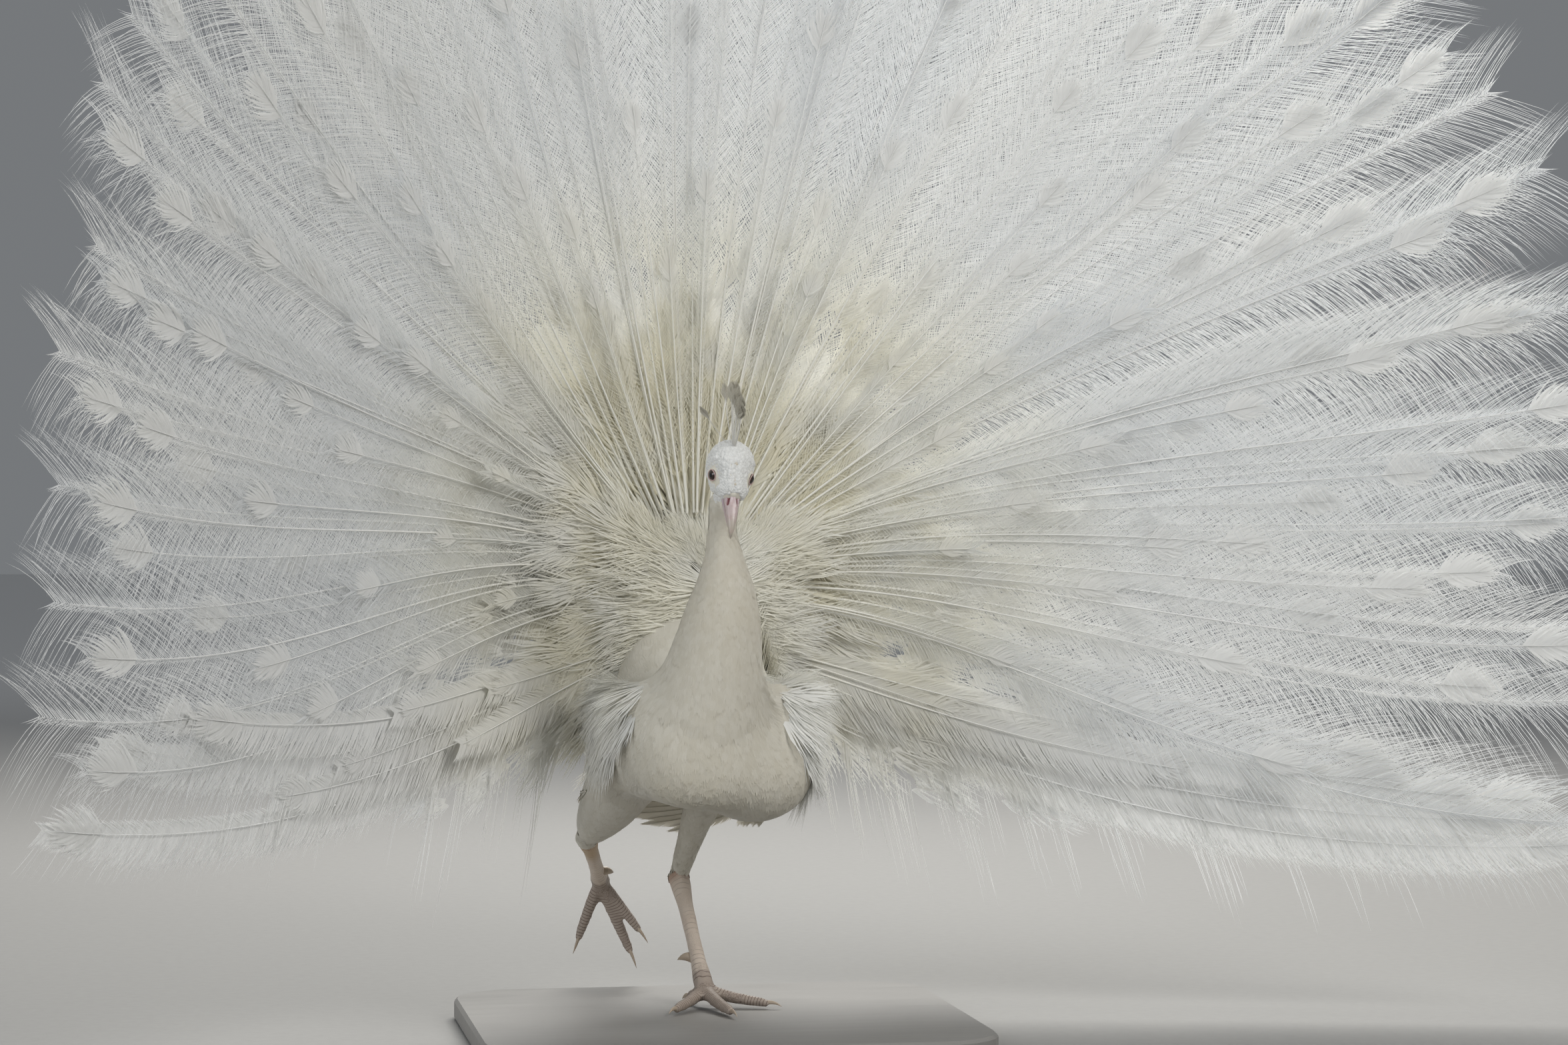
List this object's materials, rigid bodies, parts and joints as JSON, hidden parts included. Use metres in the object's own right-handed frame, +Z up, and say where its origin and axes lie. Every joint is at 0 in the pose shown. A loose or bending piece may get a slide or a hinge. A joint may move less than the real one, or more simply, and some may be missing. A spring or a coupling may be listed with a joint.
{
  "type": "peacock, white, displaying",
  "caption": "Life-size still model of a white peacock walking with its train raised in a full fan, standing on one foot on a plain flat base.",
  "frame": {"origin": "centre of the base's underside, on the surface that the model stands on", "axes": "+Z up; the bird faces -Y, its left side is +X"},
  "size_m": [1.5349, 0.7706, 1.3891],
  "materials": {
    "plumage": "soft matte body feathers, off-white",
    "train": "silky matte train, tail and wing feathers, white turning cream at the centre",
    "crest": "matte grey-beige webbed tips on white shafts",
    "horn": "satin pinkish horn",
    "eye": "glossy dark brown, wet-looking",
    "scales": "satin scaly skin, cream on the shank and grey-brown on the toes",
    "claw": "satin pale horn",
    "base": "matt grey painted board"
  },
  "bodies": {
    "root": {"trunk": "plumage", "neck": "plumage", "head": "plumage", "thigh_left": "plumage", "thigh_right": "plumage", "undertail": "plumage", "wing_left": "plumage", "primaries_left": "train", "tail_left": "train", "eye_left": "eye", "shank_left": "scales", "foot_left": "scales", "spur_left": "claw", "claw_left_inner": "claw", "claw_left_middle": "claw", "claw_left_outer": "claw", "claw_left_hind": "claw", "wing_right": "plumage", "primaries_right": "train", "tail_right": "train", "eye_right": "eye", "shank_right": "scales", "foot_right": "scales", "spur_right": "claw", "claw_right_inner": "claw", "claw_right_middle": "claw", "claw_right_outer": "claw", "claw_right_hind": "claw", "bill_upper": "horn", "bill_lower": "horn", "crest": "crest", "train_outer_1": "train", "train_outer_2": "train", "train_outer_3": "train", "train_outer_4": "train", "train_outer_5": "train", "train_outer_6": "train", "train_outer_7": "train", "train_outer_8": "train", "train_outer_9": "train", "train_middle_1": "train", "train_middle_2": "train", "train_middle_3": "train", "train_middle_4": "train", "train_middle_5": "train", "train_inner_1": "train", "train_inner_2": "train", "train_inner_3": "train", "stand_base": "base"}
  },
  "joints": []
}
